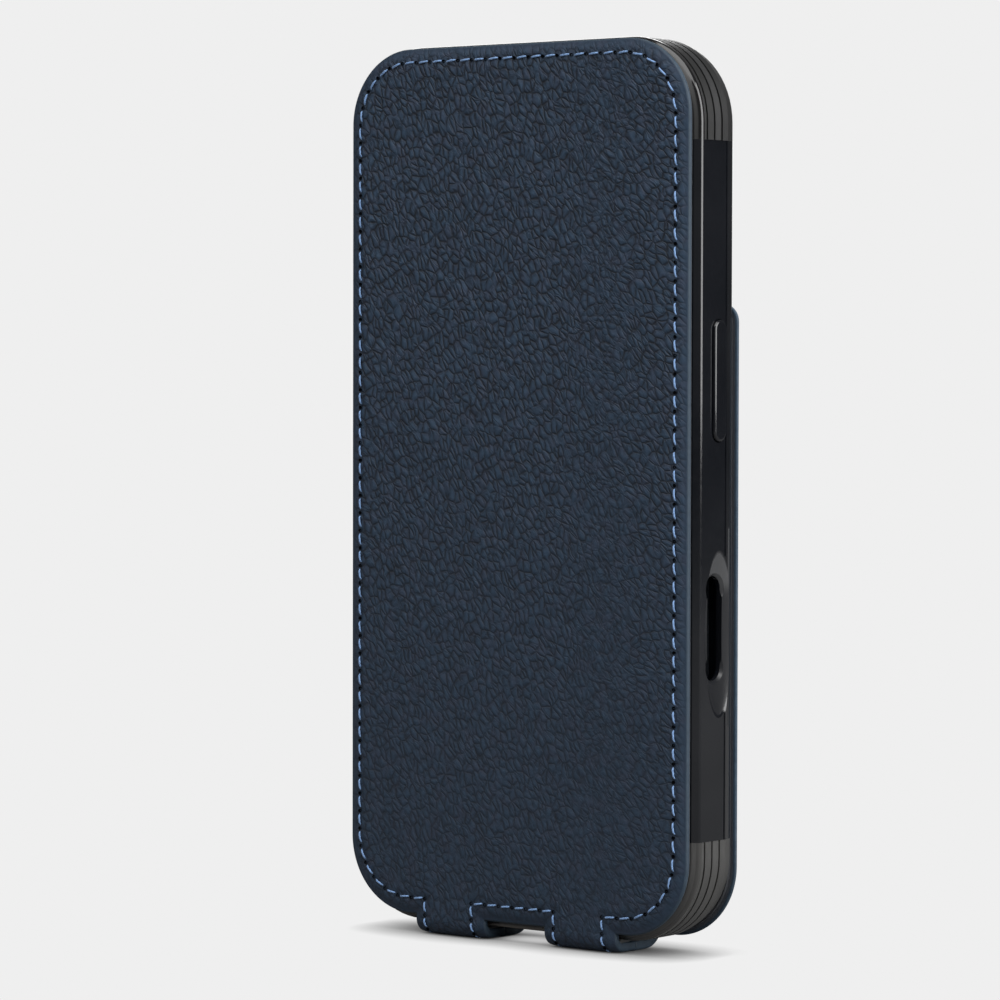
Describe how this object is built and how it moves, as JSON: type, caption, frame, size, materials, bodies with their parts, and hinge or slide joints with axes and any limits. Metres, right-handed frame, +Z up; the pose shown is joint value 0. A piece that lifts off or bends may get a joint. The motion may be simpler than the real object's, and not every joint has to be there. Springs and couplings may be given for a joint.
{
  "type": "phone wallet case",
  "caption": "Flip-down leather phone case: a clear dark bumper tray and a stitched leather flap on straps folded under its bottom edge.",
  "frame": {"origin": "on the floor under the middle of the closed case standing upright", "axes": "+Z up along the case, +Y from the flap to the back, +X to the right seen from the flap's side"},
  "size_m": [0.0762, 0.0148, 0.1548],
  "materials": {
    "leather": "pebbled",
    "lining": "brushed microfibre",
    "thread": "twisted",
    "bumper": "smoky translucent",
    "board": "fibre board",
    "magnet": "plated"
  },
  "bodies": {
    "tray": {"bumper_frame": "bumper", "back_plate": "bumper", "camera_rim": "bumper", "back_lining": "lining", "keeper_magnets": "magnet", "rear_backing": "board", "rear_leather": "leather", "rear_thread": "thread"},
    "side_button": {"side_button_cover": "bumper"},
    "action_button": {"action_button_cover": "bumper"},
    "volume_up_button": {"volume_up_cover": "bumper"},
    "volume_down_button": {"volume_down_cover": "bumper"},
    "straps": {"left_strap": "leather", "right_strap": "leather", "left_strap_lining": "lining", "right_strap_lining": "lining", "strap_thread": "thread"},
    "flap": {"flap_leather": "leather", "flap_board": "board", "flap_lining": "lining", "flap_magnets": "magnet", "flap_thread": "thread", "card_pocket": "leather", "pocket_thread": "thread"}
  },
  "joints": [
    {"name": "strap_fold", "type": "hinge", "parent": "tray", "child": "straps", "pos_m": [0, 0.00614, 0.00121], "axis": [1, 0, 0], "range_deg": [0, 180]},
    {"name": "flap_fold", "type": "hinge", "parent": "straps", "child": "flap", "pos_m": [0, -0.00667, 0.00068], "axis": [1, 0, 0], "range_deg": [0, 180]},
    {"name": "side_button_press", "type": "slide", "parent": "tray", "child": "side_button", "axis": [-1, 0, 0], "range_m": [0, 0.0004], "stiffness_N_per_m": 4000},
    {"name": "action_button_press", "type": "slide", "parent": "tray", "child": "action_button", "axis": [1, 0, 0], "range_m": [0, 0.0004], "stiffness_N_per_m": 4000},
    {"name": "volume_up_press", "type": "slide", "parent": "tray", "child": "volume_up_button", "axis": [1, 0, 0], "range_m": [0, 0.0004], "stiffness_N_per_m": 4000},
    {"name": "volume_down_press", "type": "slide", "parent": "tray", "child": "volume_down_button", "axis": [1, 0, 0], "range_m": [0, 0.0004], "stiffness_N_per_m": 4000}
  ]
}
